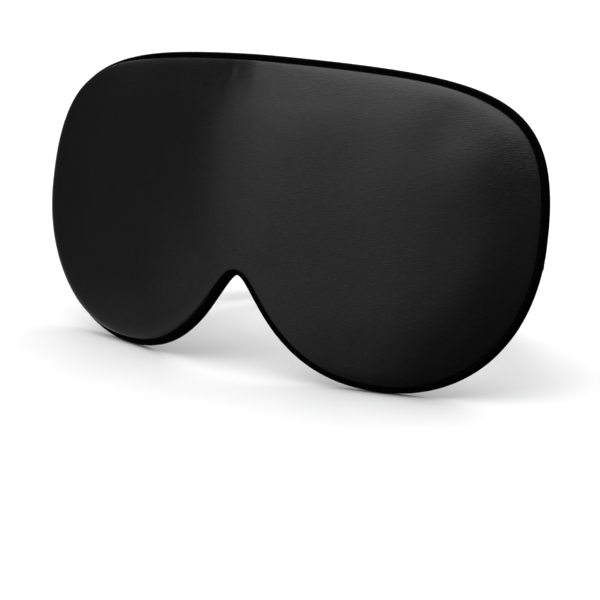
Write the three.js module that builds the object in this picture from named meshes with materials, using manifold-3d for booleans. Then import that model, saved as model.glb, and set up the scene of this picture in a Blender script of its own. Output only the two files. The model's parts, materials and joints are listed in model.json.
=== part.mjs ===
// Sleep eye mask: a padded face piece with a bound edge and an adjustable elastic head strap.
// Millimetres, +Z up. The mask faces -Y and stands on its two cheek lobes, leaning back on the
// strap loop behind it. The origin is on the floor, under the middle of the bounding box.
import * as THREE from 'three';
import { ParametricGeometry } from 'three/addons/geometries/ParametricGeometry.js';
import { mergeVertices } from 'three/addons/utils/BufferGeometryUtils.js';
import Module from 'manifold-3d';

// Outline of the mask laid flat: its right half, as three cubic curves. The left half mirrors it.
const HALF_WIDTH = 105;
const MASK_HEIGHT = 106;
const WIDEST_AT = 54.2;
const NOTCH_TOP = 31.6;
const LOBE_X = 52.3;
const NOTCH_HANDLE = 6.4;
const LOBE_INNER_HANDLE = 37.5;
const LOBE_OUTER_HANDLE = 33;
const SIDE_LOWER_HANDLE = 29.4;
const SIDE_UPPER_HANDLE = 50.4;
const TOP_HANDLE = 79.5;
const CENTRE_HEIGHT = 68;

// How the flat mask is bent: at the nose, then slightly outwards at its ends, and leaned back.
const NOSE_BEND = 0.274;
const NOSE_SOFTNESS = 7.7;
const END_FLARE = 0.246;
const LEAN = 0.204;

// Layers, measured from the middle of the thickness.
const FRONT_PUFF = 6.6;
const BACK_PUFF = 4.5;
const PUFF_REACH = 22;
const EDGE_HALF = 0.9;
const SKIN = 0.45;
const BLACKOUT_HALF = 0.15;
const GAP = 0.3;

// Binding folded over the edge.
const BINDING_WIDTH = 2.2;
const BINDING_HALF = 1.8;
const BINDING_CLOTH = 0.6;
const BINDING_ROUND = 0.8;

// Rings of points across a layer: insets from the outline, then shares of the innermost one.
const EDGE_INSET = BINDING_CLOTH + GAP;
const PUFF_START = BINDING_WIDTH + GAP;
const WADDING_INSET = 9;
const SKIN_INSETS = [EDGE_INSET, PUFF_START, 5.2, WADDING_INSET, 13];
const INNER_SHARES = [0.72, 0.44, 0.18, 0];
const STATIONS_PER_CURVE = 10;

// Elastic strap, drawn flat in its own plane: x sideways, y backwards from the swing axis.
const BAND_WIDTH = 15;
const BAND_THICKNESS = 1;
const STRAP_END_LENGTH = 10;
const STRAP_END_SLOPE = 0.19;
const STRAP_END_U = 98.5;
const STRAP_END_DEPTH = 3.85;
const TWIST_LENGTH = 22;
const TWIST_START = 0.6;
const REAR_REACH = 80;
const CORNER_RADIUS = 10;
const RIGHT_CORNER_X = 31;

// Ring that joins the two bands, and the slider that sets their length.
const RING_X = -24;
const RING_BAR_SPACING = 8;
const RING_BAR = 1.4;
const RING_THICKNESS = 1.6;
const RING_WIDTH = 20;
const WINDOW_WIDTH = 16.6;
const PLY_OFFSET = 1.9;
const LOOP_HOLE = 1.4;
const RING_TAIL = 12;
const SLIDER_X = 16;
const SLIDER_LENGTH = 12;
const SLIDER_WIDTH = 21;
const SLIDER_BAR = 1.8;
const SLIDER_FACE = 2.7;
const SLIDER_PLATE = 1.4;
const SLIDER_CHEEK_LOW = -2.1;
const SLIDER_PIN_RADIUS = 0.7;
const SLIDER_PIN_Y = -1.2;
const SLIDER_LOOP_HOLE = 1;
const SLIDER_TAIL = 9;
const RETURN_START = 6;

const TACK_LENGTH = 1.8;
const TACK_WIDTH = 13;
const TACK_HEIGHT = 0.5;

const wasm = await Module();
wasm.setup();

const materials = {
  satin: new THREE.MeshStandardMaterial({ color: 0x1c1c1e, roughness: 0.36, metalness: 0 }),
  binding: new THREE.MeshStandardMaterial({ color: 0x0a0a0b, roughness: 0.6, metalness: 0 }),
  wadding: new THREE.MeshStandardMaterial({ color: 0xe6e4de, roughness: 0.95, metalness: 0 }),
  blackout: new THREE.MeshStandardMaterial({ color: 0x101012, roughness: 0.8, metalness: 0 }),
  elastic: new THREE.MeshStandardMaterial({ color: 0x141415, roughness: 0.75, metalness: 0 }),
  thread: new THREE.MeshStandardMaterial({ color: 0x18181a, roughness: 0.55, metalness: 0 }),
  plastic: new THREE.MeshStandardMaterial({ color: 0x121213, roughness: 0.3, metalness: 0 }),
};

function addMesh(parent, name, geometry, material) {
  const mesh = new THREE.Mesh(geometry, material);
  mesh.name = name;
  parent.add(mesh);
  return mesh;
}

// ---- Mask outline and bend ----

function mirrored(points) {
  return points.map(([u, v]) => [-u, v]).reverse();
}

function maskOutline() {
  const half = [
    [0, NOTCH_TOP],
    [NOTCH_HANDLE, NOTCH_TOP], [LOBE_X - LOBE_INNER_HANDLE, 0], [LOBE_X, 0],
    [LOBE_X + LOBE_OUTER_HANDLE, 0], [HALF_WIDTH, WIDEST_AT - SIDE_LOWER_HANDLE], [HALF_WIDTH, WIDEST_AT],
    [HALF_WIDTH, WIDEST_AT + SIDE_UPPER_HANDLE], [TOP_HANDLE, MASK_HEIGHT], [0, MASK_HEIGHT],
  ];
  const points = half.concat(mirrored(half).slice(1));
  const outline = new THREE.Path();
  outline.moveTo(...points[0]);
  for (let i = 1; i < points.length; i += 3) {
    outline.bezierCurveTo(...points[i], ...points[i + 1], ...points[i + 2]);
  }
  return outline;
}

const outline = maskOutline();
const rimLine = outline.getPoints(30);

// Points along the outline, each with its outward direction.
const stations = outline.curves.flatMap((curve) => {
  const list = [];
  for (let i = 0; i < STATIONS_PER_CURVE; i++) {
    const tangent = curve.getTangent(i / STATIONS_PER_CURVE);
    list.push({
      point: curve.getPoint(i / STATIONS_PER_CURVE),
      outward: new THREE.Vector2(tangent.y, -tangent.x),
    });
  }
  return list;
});

function rimDistance(point) {
  const closest = new THREE.Vector3();
  const line = new THREE.Line3();
  const here = new THREE.Vector3(point.x, point.y, 0);
  let nearest = Infinity;
  for (let i = 1; i < rimLine.length; i++) {
    line.start.set(rimLine[i - 1].x, rimLine[i - 1].y, 0);
    line.end.set(rimLine[i].x, rimLine[i].y, 0);
    line.closestPointToPoint(here, true, closest);
    nearest = Math.min(nearest, closest.distanceTo(here));
  }
  return nearest;
}

function heading(u) {
  return NOSE_BEND * Math.tanh(u / NOSE_SOFTNESS) - END_FLARE * (u / 100) ** 3;
}

// Bends a point of the flat mask, at width u, height v and thickness t (towards the front).
function bent(u, v, t) {
  const steps = 40;
  const step = u / steps;
  let x = t * Math.sin(heading(u));
  let y = -t * Math.cos(heading(u));
  for (let i = 0; i < steps; i++) {
    const angle = heading((i + 0.5) * step);
    x += Math.cos(angle) * step;
    y += Math.sin(angle) * step;
  }
  return new THREE.Vector3(x, y, v);
}

// Height of the padding above the middle plane, at a distance from the outline.
function puff(distance, height) {
  const reach = THREE.MathUtils.clamp((distance - PUFF_START) / (PUFF_REACH - PUFF_START), 0, 1);
  return EDGE_HALF + (height - EDGE_HALF) * Math.sqrt(1 - (1 - reach) ** 2);
}

// A closed body from a surface whose seams and poles meet.
function closedSurface(pointAt, slices, stacks) {
  const geometry = new ParametricGeometry(pointAt, slices, stacks);
  geometry.deleteAttribute('normal');
  geometry.deleteAttribute('uv');
  const merged = mergeVertices(geometry, 1e-4);
  const index = merged.index.array;
  const kept = [];
  for (let i = 0; i < index.length; i += 3) {
    const [a, b, c] = index.slice(i, i + 3);
    if (a !== b && b !== c && c !== a) kept.push(a, c, b);
  }
  merged.setIndex(kept);
  return merged;
}

function insetPoint(station, inset) {
  return station.point.clone().addScaledVector(station.outward, -inset);
}

// A cloth or wadding layer between the heights front(d) and back(d), d being the rim distance.
function layer(insets, front, back) {
  const centre = new THREE.Vector2(0, CENTRE_HEIGHT);
  const rings = [
    ...insets.map((inset) => (station) => insetPoint(station, inset)),
    ...INNER_SHARES.map((share) => (station) => (
      insetPoint(station, insets.at(-1)).sub(centre).multiplyScalar(share).add(centre)
    )),
  ].reverse();
  const lastRow = 2 * rings.length - 1;
  return closedSurface((around, across, target) => {
    const station = stations[Math.round(around * stations.length) % stations.length];
    const row = Math.round(across * lastRow);
    const isFront = row < rings.length;
    const flat = rings[isFront ? row : lastRow - row](station);
    const distance = rimDistance(flat);
    target.copy(bent(flat.x, flat.y, isFront ? front(distance) : back(distance)));
  }, stations.length, lastRow);
}

// Binding: a U section, open inwards, carried round the outline.
function binding() {
  const [low, high] = [BINDING_HALF - BINDING_CLOTH, BINDING_HALF];
  const frontHalf = [[BINDING_WIDTH, low], [BINDING_WIDTH, high], [BINDING_ROUND, high], [0, high - BINDING_ROUND]];
  const backHalf = frontHalf.map(([inset, height]) => [inset, -height]).reverse();
  const section = [[BINDING_CLOTH, low], ...frontHalf, ...backHalf, [BINDING_CLOTH, -low]];
  return closedSurface((around, across, target) => {
    const station = stations[Math.round(around * stations.length) % stations.length];
    const [inset, height] = section[Math.round(across * section.length) % section.length];
    const flat = insetPoint(station, inset);
    target.copy(bent(flat.x, flat.y, height));
  }, stations.length, section.length);
}

// ---- Strap shapes ----

// A flat band on edge: the path's two sides, extruded by the band's width.
function ribbon(path, divisions) {
  const points = path.getPoints(divisions);
  const sides = [[], []];
  points.forEach((point, i) => {
    const before = points[Math.max(i - 1, 0)];
    const after = points[Math.min(i + 1, points.length - 1)];
    const along = after.clone().sub(before).normalize();
    const across = new THREE.Vector2(-along.y, along.x).multiplyScalar(BAND_THICKNESS / 2);
    sides[0].push(point.clone().add(across));
    sides[1].unshift(point.clone().sub(across));
  });
  return extruded(new THREE.Shape(sides.flat()), BAND_WIDTH);
}

function extruded(shape, depth) {
  const geometry = new THREE.ExtrudeGeometry(shape, { depth, bevelEnabled: false, curveSegments: 8 });
  geometry.translate(0, 0, -depth / 2);
  return geometry;
}

// A band sewn back on itself round a bar at the origin, with its tail towards side (+1 or -1) x.
function sewnLoop(holeRadius, tailLength, side) {
  const radius = holeRadius + BAND_THICKNESS;
  const start = Math.asin(BAND_THICKNESS / radius);
  const shape = new THREE.Shape();
  shape.moveTo(tailLength, BAND_THICKNESS);
  shape.absarc(0, 0, radius, start, 2 * Math.PI - start, false);
  shape.lineTo(tailLength, -BAND_THICKNESS);
  shape.closePath();
  shape.holes.push(new THREE.Path().absarc(0, 0, holeRadius, 0, 2 * Math.PI, true));
  const geometry = extruded(shape, BAND_WIDTH);
  if (side < 0) geometry.rotateZ(Math.PI);
  return geometry;
}

function tack() {
  return new THREE.BoxGeometry(TACK_LENGTH, TACK_HEIGHT, TACK_WIDTH);
}

function roundedRectangle(length, width, radius) {
  const [x, y] = [length / 2, width / 2];
  const shape = new THREE.Shape();
  shape.absarc(x - radius, y - radius, radius, 0, Math.PI / 2, false);
  shape.absarc(radius - x, y - radius, radius, Math.PI / 2, Math.PI, false);
  shape.absarc(radius - x, radius - y, radius, Math.PI, 1.5 * Math.PI, false);
  shape.absarc(x - radius, radius - y, radius, 1.5 * Math.PI, 2 * Math.PI, false);
  return shape;
}

// A flat frame with one window, standing on edge: x along the band, z across it.
function frame(length, width, bar, thickness) {
  const shape = roundedRectangle(length, width, 1.5);
  shape.holes.push(roundedRectangle(length - 2 * bar, WINDOW_WIDTH, 0.4));
  return extruded(shape, thickness).rotateX(Math.PI / 2);
}

function toSolid(geometry) {
  const bare = geometry.clone();
  bare.deleteAttribute('normal');
  bare.deleteAttribute('uv');
  const merged = mergeVertices(bare, 1e-4);
  return new wasm.Manifold(new wasm.Mesh({
    numProp: 3,
    vertProperties: new Float32Array(merged.attributes.position.array),
    triVerts: new Uint32Array(merged.index.array),
  }));
}

function toGeometry(solid) {
  const mesh = solid.getMesh();
  const geometry = new THREE.BufferGeometry();
  geometry.setAttribute('position', new THREE.BufferAttribute(mesh.vertProperties, 3));
  geometry.setIndex(new THREE.BufferAttribute(mesh.triVerts, 1));
  return geometry;
}

// Slider: a plate with two end bars, and two cheeks that carry a round pin below the through band.
function sliderGeometry() {
  const plate = frame(SLIDER_LENGTH, SLIDER_WIDTH, SLIDER_BAR, SLIDER_PLATE);
  plate.translate(0, SLIDER_FACE + SLIDER_PLATE / 2, 0);
  const cheekWidth = (SLIDER_WIDTH - WINDOW_WIDTH) / 2;
  const cheekHeight = SLIDER_FACE + SLIDER_PLATE / 2 - SLIDER_CHEEK_LOW;
  const pin = new THREE.CylinderGeometry(SLIDER_PIN_RADIUS, SLIDER_PIN_RADIUS, WINDOW_WIDTH + cheekWidth, 16);
  pin.rotateX(Math.PI / 2).translate(0, SLIDER_PIN_Y, 0);
  let solid = toSolid(plate).add(toSolid(pin));
  for (const side of [-1, 1]) {
    const cheek = new THREE.BoxGeometry(SLIDER_LENGTH - 3, cheekHeight, cheekWidth);
    cheek.translate(0, SLIDER_CHEEK_LOW + cheekHeight / 2, side * (WINDOW_WIDTH + cheekWidth) / 2);
    solid = solid.add(toSolid(cheek));
  }
  return toGeometry(solid);
}

// ---- Mask body ----

const object = new THREE.Group();
const mask = new THREE.Group();
mask.rotation.x = -LEAN;
object.add(mask);

const skinTop = (height) => (d) => puff(d, height);
const skinUnder = (height) => (d) => puff(d, height) - SKIN;
const waddingTop = (height) => (d) => puff(d, height) - SKIN - GAP;
const waddingLow = () => BLACKOUT_HALF + GAP;
const flipped = (side) => (d) => -side(d);
const WADDING_INSETS = SKIN_INSETS.filter((inset) => inset >= WADDING_INSET);

addMesh(mask, 'face_panel', layer(SKIN_INSETS, skinTop(FRONT_PUFF), skinUnder(FRONT_PUFF)), materials.satin);
addMesh(mask, 'front_wadding', layer(WADDING_INSETS, waddingTop(FRONT_PUFF), waddingLow), materials.wadding);
addMesh(mask, 'blackout_layer', layer(SKIN_INSETS, () => BLACKOUT_HALF, () => -BLACKOUT_HALF), materials.blackout);
addMesh(
  mask, 'rear_wadding', layer(WADDING_INSETS, flipped(waddingLow), flipped(waddingTop(BACK_PUFF))), materials.wadding,
);
addMesh(
  mask, 'lining_panel', layer(SKIN_INSETS, flipped(skinUnder(BACK_PUFF)), flipped(skinTop(BACK_PUFF))), materials.satin,
);
addMesh(mask, 'rim_binding', binding(), materials.binding);

// Sewn strap ends, lying over the binding and the lining on the back of the mask.
const sides = [['left', -1], ['right', 1]];
for (const [name, side] of sides) {
  const end = new THREE.Group();
  end.position.copy(bent(side * STRAP_END_U, WIDEST_AT, -STRAP_END_DEPTH));
  end.rotation.z = side * (heading(STRAP_END_U) - Math.atan(STRAP_END_SLOPE));
  mask.add(end);
  const band = new THREE.BoxGeometry(STRAP_END_LENGTH, BAND_THICKNESS, BAND_WIDTH);
  addMesh(end, `strap_end_${name}`, band, materials.elastic);
  const stitch = addMesh(end, `bar_tack_${name}`, tack(), materials.thread);
  stitch.position.y = BAND_THICKNESS / 2 + GAP + TACK_HEIGHT / 2;
}

// Swing axis of the strap, parallel to X, through the inner edge of both sewn ends.
mask.updateMatrixWorld(true);
const foldU = STRAP_END_U - STRAP_END_LENGTH / 2;
const foldDepth = STRAP_END_DEPTH + STRAP_END_SLOPE * STRAP_END_LENGTH / 2;
const fold = mask.localToWorld(bent(foldU, WIDEST_AT, -foldDepth));
const maskBox = new THREE.Box3().setFromObject(mask, true);

// The strap tilts down until the slider's lower corner is level with the lobes.
const cornerBack = REAR_REACH + SLIDER_FACE + SLIDER_PLATE;
const cornerDown = SLIDER_WIDTH / 2;
const drop = fold.z - maskBox.min.z;
const tilt = Math.asin(drop / Math.hypot(cornerBack, cornerDown)) - Math.atan2(cornerDown, cornerBack);

const strap = new THREE.Group();
strap.position.set(0, fold.y, fold.z);
strap.rotation.x = -tilt;
object.add(strap);

// ---- Strap ----

// Side band: straight from the fold, then round a corner that touches the rear run.
function sideRun(side, cornerX, rearY) {
  const start = new THREE.Vector2(side * fold.x, 0);
  const corner = new THREE.Vector2(cornerX, rearY - CORNER_RADIUS);
  const toCorner = corner.clone().sub(start);
  const turn = Math.asin(CORNER_RADIUS / toCorner.length());
  const angle = toCorner.angle() - side * turn;
  return { start, corner, angle, direction: new THREE.Vector2(Math.cos(angle), Math.sin(angle)) };
}

// First stretch of a side band, which turns from the slope of the mask to that of the strap.
function twistedBand(run) {
  const geometry = new THREE.BoxGeometry(TWIST_LENGTH - TWIST_START, BAND_THICKNESS, BAND_WIDTH, 6, 1, 1);
  const along = new THREE.Vector3(run.direction.x, run.direction.y, 0);
  const position = geometry.attributes.position;
  for (let i = 0; i < position.count; i++) {
    const [x, y, z] = [position.getX(i), position.getY(i), position.getZ(i)];
    const distance = x + (TWIST_LENGTH + TWIST_START) / 2;
    const twist = (tilt - LEAN) * (1 - THREE.MathUtils.smoothstep(distance, TWIST_START, TWIST_LENGTH));
    const width = new THREE.Vector3(0, -Math.sin(twist), Math.cos(twist));
    const thickness = width.clone().cross(along).normalize();
    const point = new THREE.Vector3(run.start.x, run.start.y, 0).addScaledVector(along, distance);
    point.addScaledVector(thickness, y).addScaledVector(width, z);
    position.setXYZ(i, point.x, point.y, point.z);
  }
  return geometry;
}

function sideBand(run, side) {
  const first = run.start.clone().addScaledVector(run.direction, TWIST_LENGTH + GAP);
  const touch = run.angle - side * Math.PI / 2;
  const path = new THREE.Path();
  path.moveTo(first.x, first.y);
  path.lineTo(
    run.corner.x + CORNER_RADIUS * Math.cos(touch), run.corner.y + CORNER_RADIUS * Math.sin(touch),
  );
  path.absarc(run.corner.x, run.corner.y, CORNER_RADIUS, touch, Math.PI / 2, side < 0);
  return ribbon(path, 8);
}

const ringLeftBar = RING_X - RING_BAR_SPACING / 2;
const ringRightBar = RING_X + RING_BAR_SPACING / 2;
const ringTailEnd = ringLeftBar - RING_TAIL;
const runs = {
  left: sideRun(-1, ringTailEnd - GAP, REAR_REACH),
  right: sideRun(1, RIGHT_CORNER_X, REAR_REACH + PLY_OFFSET),
};
for (const [name, side] of sides) {
  addMesh(strap, `band_twist_${name}`, twistedBand(runs[name]), materials.elastic);
  addMesh(strap, `side_band_${name}`, sideBand(runs[name], side), materials.elastic);
}

const rear = new THREE.Group();
rear.position.y = REAR_REACH;
strap.add(rear);

// Rear band: through the slider, round the ring and back a little.
const rearPath = new THREE.Path();
rearPath.moveTo(RIGHT_CORNER_X - GAP, PLY_OFFSET);
rearPath.lineTo(ringRightBar, PLY_OFFSET);
rearPath.absarc(ringRightBar, 0, PLY_OFFSET, Math.PI / 2, 1.5 * Math.PI, false);
rearPath.lineTo(ringRightBar + RETURN_START, -PLY_OFFSET);
addMesh(rear, 'rear_band', ribbon(rearPath, 10), materials.elastic);

const returnPath = new THREE.Path();
returnPath.moveTo(ringRightBar + RETURN_START + GAP, -PLY_OFFSET);
returnPath.lineTo(SLIDER_X - SLIDER_TAIL - GAP, -PLY_OFFSET);
addMesh(rear, 'return_band', ribbon(returnPath, 1), materials.elastic);

const ringLength = RING_BAR_SPACING + RING_BAR;
const ring = addMesh(rear, 'ring', frame(ringLength, RING_WIDTH, RING_BAR, RING_THICKNESS), materials.plastic);
ring.position.x = RING_X;

const tackOut = BAND_THICKNESS + GAP + TACK_HEIGHT / 2;
const ringLoop = addMesh(rear, 'ring_loop', sewnLoop(LOOP_HOLE, RING_TAIL, -1), materials.elastic);
ringLoop.position.x = ringLeftBar;
const ringTack = addMesh(rear, 'ring_loop_tack', tack(), materials.thread);
ringTack.position.set(ringLeftBar - RING_TAIL / 2, -tackOut, 0);

const slider = new THREE.Group();
slider.position.x = SLIDER_X;
rear.add(slider);
addMesh(slider, 'slider', sliderGeometry(), materials.plastic);
const sliderLoop = addMesh(slider, 'slider_loop', sewnLoop(SLIDER_LOOP_HOLE, SLIDER_TAIL, -1), materials.elastic);
sliderLoop.position.y = SLIDER_PIN_Y;
const sliderTack = addMesh(slider, 'slider_loop_tack', tack(), materials.thread);
sliderTack.position.set(-SLIDER_TAIL * 0.7, SLIDER_PIN_Y - tackOut, 0);

// The whole object is moved so that its origin is under its middle, on the floor.
const box = new THREE.Box3().setFromObject(object, true);
object.position.set(-(box.min.x + box.max.x) / 2, -(box.min.y + box.max.y) / 2, -box.min.z);

export default object;
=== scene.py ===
"""Sleep eye mask: the looks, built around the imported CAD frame.

The mask's cloth is drawn flat in millimetres: u across, v up, t towards the front. It is
simulated flat, then bent at the nose and leaned back as the CAD mask is. Blender's units are metres.
In the row frame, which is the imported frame, the mask looks toward -Y and stands on Z = 0.
"""
import json
import math

import bpy
import numpy as np
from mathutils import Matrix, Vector
from mathutils.geometry import delaunay_2d_cdt


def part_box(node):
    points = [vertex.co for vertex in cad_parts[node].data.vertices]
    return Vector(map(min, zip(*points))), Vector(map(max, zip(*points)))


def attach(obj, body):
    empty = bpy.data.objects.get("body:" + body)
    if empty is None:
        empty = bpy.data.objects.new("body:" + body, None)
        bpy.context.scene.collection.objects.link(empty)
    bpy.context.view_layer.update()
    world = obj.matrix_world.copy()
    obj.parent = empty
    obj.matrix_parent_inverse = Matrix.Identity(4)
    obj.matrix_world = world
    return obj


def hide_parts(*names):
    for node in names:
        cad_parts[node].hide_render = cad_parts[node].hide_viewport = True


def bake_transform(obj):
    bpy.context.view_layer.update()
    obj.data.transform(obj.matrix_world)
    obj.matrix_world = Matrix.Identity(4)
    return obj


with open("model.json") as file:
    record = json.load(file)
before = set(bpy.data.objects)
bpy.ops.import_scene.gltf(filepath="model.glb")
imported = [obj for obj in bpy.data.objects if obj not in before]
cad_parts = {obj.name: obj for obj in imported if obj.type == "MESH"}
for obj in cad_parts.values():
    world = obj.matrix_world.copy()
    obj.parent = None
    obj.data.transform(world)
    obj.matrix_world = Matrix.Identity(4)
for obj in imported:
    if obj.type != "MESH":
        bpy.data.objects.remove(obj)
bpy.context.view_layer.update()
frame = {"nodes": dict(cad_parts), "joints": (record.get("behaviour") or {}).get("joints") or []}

MM = 0.001

# Camera: it looks at the middle of the bound edge, moved by CAMERA_AIM. Angles are in degrees.
CAMERA_AZIMUTH = 34.55
CAMERA_ELEVATION = 14.48
CAMERA_DISTANCE = 590 * MM
CAMERA_LENS = 104.3
CAMERA_SENSOR = 36
CAMERA_CLIP = (0.01, 20)
CAMERA_AIM = Vector((16.7, -2.5, -28.6)) * MM

# Studio: (name, azimuth, elevation, distance, width, height, radiance) of each softbox, and the sky.
# Lengths are in metres.
SOFTBOXES = [
    ("key", -23, 30.5, 1.6, 1.35, 1.5, 1.15),
    ("low", -31, -14, 1.6, 1.1, 0.8, 0.47),
    ("floor_glow", -70, -36, 1.6, 1.6, 1.1, 0.25),
    ("edge", -116, -20, 1.8, 1.1, 1.3, 0.7),
    ("behind", -150, 25, 1.8, 1.4, 1.0, 1.2),
    ("behind_right", 140, 40, 1.8, 1.2, 1.0, 1.2),
]
SKY_LIGHT = 3.1
SKY_ANGLE = 88
WORLD_LIGHT = 0.02
FLOOR_HALF = 4
WHITE = (1, 1, 1, 1)

# Flat outline of the mask, in millimetres: its right half as three cubic curves.
HALF_WIDTH = 105
MASK_HEIGHT = 106
WIDEST_AT = 54.2
NOTCH_TOP = 31.6
OUTLINE = [
    (0, NOTCH_TOP),
    (6.4, NOTCH_TOP), (14.8, 0), (52.3, 0),
    (85.3, 0), (HALF_WIDTH, 24.8), (HALF_WIDTH, WIDEST_AT),
    (HALF_WIDTH, 104.6), (79.5, MASK_HEIGHT), (0, MASK_HEIGHT),
]
CURVE_POINTS = 400
RIM_POINTS = 1200
CHUNKS = 40

# How the flat mask is bent and leaned: angles in radians, distances in millimetres of u.
NOSE_BEND = 0.274
NOSE_SOFTNESS = 7.7
END_FLARE = 0.246
FLARE_AT = 100
LEAN = 0.204
BEND_REACH = 120
BEND_POINTS = 1921

# Puffed cloth: its heights are from the middle of the mask's thickness.
SEAM_HALF = 0.9
FRONT_PUFF = 6.8
BACK_PUFF = 4.6
START_SHARE = 0.97
PUFF_REACH = 46
PUFF_DOME = 4

# Roll of the padding's edge, and where it changes towards the left and right ends of the face.
PUFF_ROLL = 2
LEFT_ROLL = 3.2
RIGHT_ROLL = 1.0
LEFT_ZONE = (45, 85)
RIGHT_ROLL_ZONE = (60, 95)

# Shares of the height that are added or taken away, and where.
LEFT_SWELL = 0.15
RIGHT_SWELL = 0.25
RIGHT_SWELL_ZONE = (35, 65)
RIGHT_FALL = 0.36
RIGHT_FALL_ZONE = (86, 106)
LINING_THINNING = 0.14
LINING_THIN_ZONE = (50, 85)

# Discs that the height is averaged over.
DISC_RADIUS = 8
DISC_SHARE = 0.7
DISC_DIRECTIONS = 8
DISC_RINGS = (0.5, 1)

# How far the padding rolls over the binding.
OVERHANG = 0.9
LEFT_OVERHANG = 1.6
RIGHT_OVERHANG = 0.1
OVERHANG_REACH = 7
OVERHANG_EARLY = 0.6

# Rounding of the padding over the bend at the nose.
NOSE_ROUND = 30
NOSE_EASE_REACH = 6

# Mesh of the cloth.
SHEET_SPACING = 2.4
FILL_CLEAR = 0.7 * SHEET_SPACING
RIM_STEP = 4
RING_INSETS = [0.9, 2.1, 2.4, 2.9, 3.6, 4.6, 5.8, 7.2, 8.8, 11.0]
MERGE_LIMIT = 1e-5
CLOTH_THICKNESS = 0.4 * MM

# Cloth simulation: run on sheets a hundredth of a unit to the millimetre.
CLOTH_SCALE = 0.01
CLOTH_FRAMES = 18
CLOTH_PRESSURE = 0.35
CLOTH_CAP = 2.5
CLOTH_EASING = 20
EASING_SHARE = 0.6

# Gathers beside the binding: (pitch, phase, share) of each wave, and (run, spread) where they are deep.
GATHERS = [(9.5, 0.4, 0.5), (6.3, 2.1, 0.3), (14.0, 4.0, 0.4)]
GATHER_WANDER = 1.3
GATHER_WANDER_RUN = 31
GATHER_PLACES = [(325, 38), (212, 12)]
GATHER_EVEN = 0.04
GATHER_START = 2
GATHER_REACH = 7
GATHER_DEPTH = 0.09

# Binding folded over the edge: a U section of cloth with a sewn groove near its inner edges.
BINDING_WIDTH = 2.2
BINDING_HALF = 1.8
BINDING_CLOTH = 0.6
BINDING_ROLL = 1
SEW_INSET = 1.65
SEW_GROOVE = 0.1
SEW_GROOVE_HALF = 0.3
INNER_SLOPE = 0.3
SLOPE_START = 1.2
BINDING_ROWS = [BINDING_WIDTH, 2.05, 1.85, SEW_INSET, 1.45, SLOPE_START, 0.95, 0.7, 0.4, 0.18, 0.05]

# Waves along the binding, and its pucker at each stitch.
BINDING_WAVE = 0.06
WAVE_RUNS = (4.3, 13, 9.1)
WAVE_SIDE_PHASE = 1.7
WAVE_INSET_PHASE = 0.6
STITCH_PUCKER = 0.05
PUCKER_HALF = 0.7

# Stitches: capsules of thread that dip at their ends. STITCH_LIFT is a share of the thread's radius,
# and STITCH_AIM is how many rim points ahead each one aims.
STITCH_PITCH = 3.1
STITCH_LENGTH = 2.5
STITCH_LIFT = 0.4
STITCH_AIM = 4
THREAD_RADIUS = 0.14
THREAD_DIP = 3
CAPSULE_RINGS = [(-0.5, 0.0), (-0.42, 0.7), (-0.2, 1.0), (0.2, 1.0), (0.42, 0.7), (0.5, 0.0)]
CAPSULE_SIDES = 6

# Wadding, kept clear of the cloth above it, and the lengths of its waves along u and v.
WADDING_INSET = 8.8
WADDING_LOW = 0.5
WADDING_EDGE = 0.2
WADDING_ROUND = 4
WADDING_CLEAR = 2.1
WADDING_LOFT = 0.25
LOFT_U = (3.1, 6.1)
LOFT_V = (2.7, 5.3)
LOFT_SWAY = (2, 1.5)

# Elastic band.
BAND_WIDTH = 15
BAND_HALF = 0.5
BAND_RIBS = 9
RIB_POINTS = 4
RIB_DEPTH = 0.13
RIB_SHAPE = 0.6
EDGE_ROUND = 0.85 * BAND_HALF
BAND_STEP = 0.8
BAND_CLEAR = 0.3

# Route of the strap: lengths in millimetres, turns in degrees.
FOLD_REACH = 2.6
FOLD_TAB_SHARE = 0.02
TWIST_LENGTH = 22
CORNER_RADIUS = 10
ARC_POINTS = 14
PLY_OFFSET = 1.9
RING_BAR_SPACING = 8
RETURN_START = 6
LOOP_NECK = 4.5
LOOP_LAP = 1
RING_LAP_RISE = 3
RING_LOOP_TURN = 105
SLIDER_LOOP_RADIUS = 1.5
SLIDER_LOOP_TURN = (255, 465)
SLIDER_PIN_BACK = -1.2

# Bar tacks.
TACK_WIDTH = 13
TACK_LENGTH = 1.9
TACK_THREADS = 34
TACK_LEAN = 0.16
TACK_THREAD_RADIUS = 0.2

# Rounded edges of the ring and the slider.
WELD_LIMIT = 0.01 * MM
EDGE_BEVEL = 0.25 * MM

# Noise factors between which a material goes from one colour or roughness to the other.
NOISE_LOW = 0.3
NOISE_HIGH = 0.7


# ---- Small helpers ----

def middle(node):
    """Middle of a CAD node's box."""
    low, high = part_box(node)
    return (Vector(low) + Vector(high)) / 2


def new_object(name, vertices, faces, weave=None):
    """A smooth mesh object; weave gives each vertex its place in the flat cloth, in millimetres."""
    mesh = bpy.data.meshes.new(name)
    corners = [tuple(map(float, v)) for v in vertices]
    mesh.from_pydata(corners, [], [tuple(map(int, f)) for f in faces])
    mesh.polygons.foreach_set("use_smooth", [True] * len(mesh.polygons))
    if weave is not None:
        attribute = mesh.attributes.new("weave", "FLOAT_VECTOR", "POINT")
        attribute.data.foreach_set("vector", np.asarray(weave, np.float32).ravel())
    thing = bpy.data.objects.new(name, mesh)
    bpy.context.collection.objects.link(thing)
    return thing


def vertex_array(thing):
    """Places of the mesh's vertices, one to a row."""
    co = np.empty(len(thing.data.vertices) * 3)
    thing.data.vertices.foreach_get("co", co)
    return co.reshape(-1, 3)


def set_vertices(thing, co):
    thing.data.vertices.foreach_set("co", np.asarray(co, float).ravel())
    thing.data.update()


# ---- Flat outline ----

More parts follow.
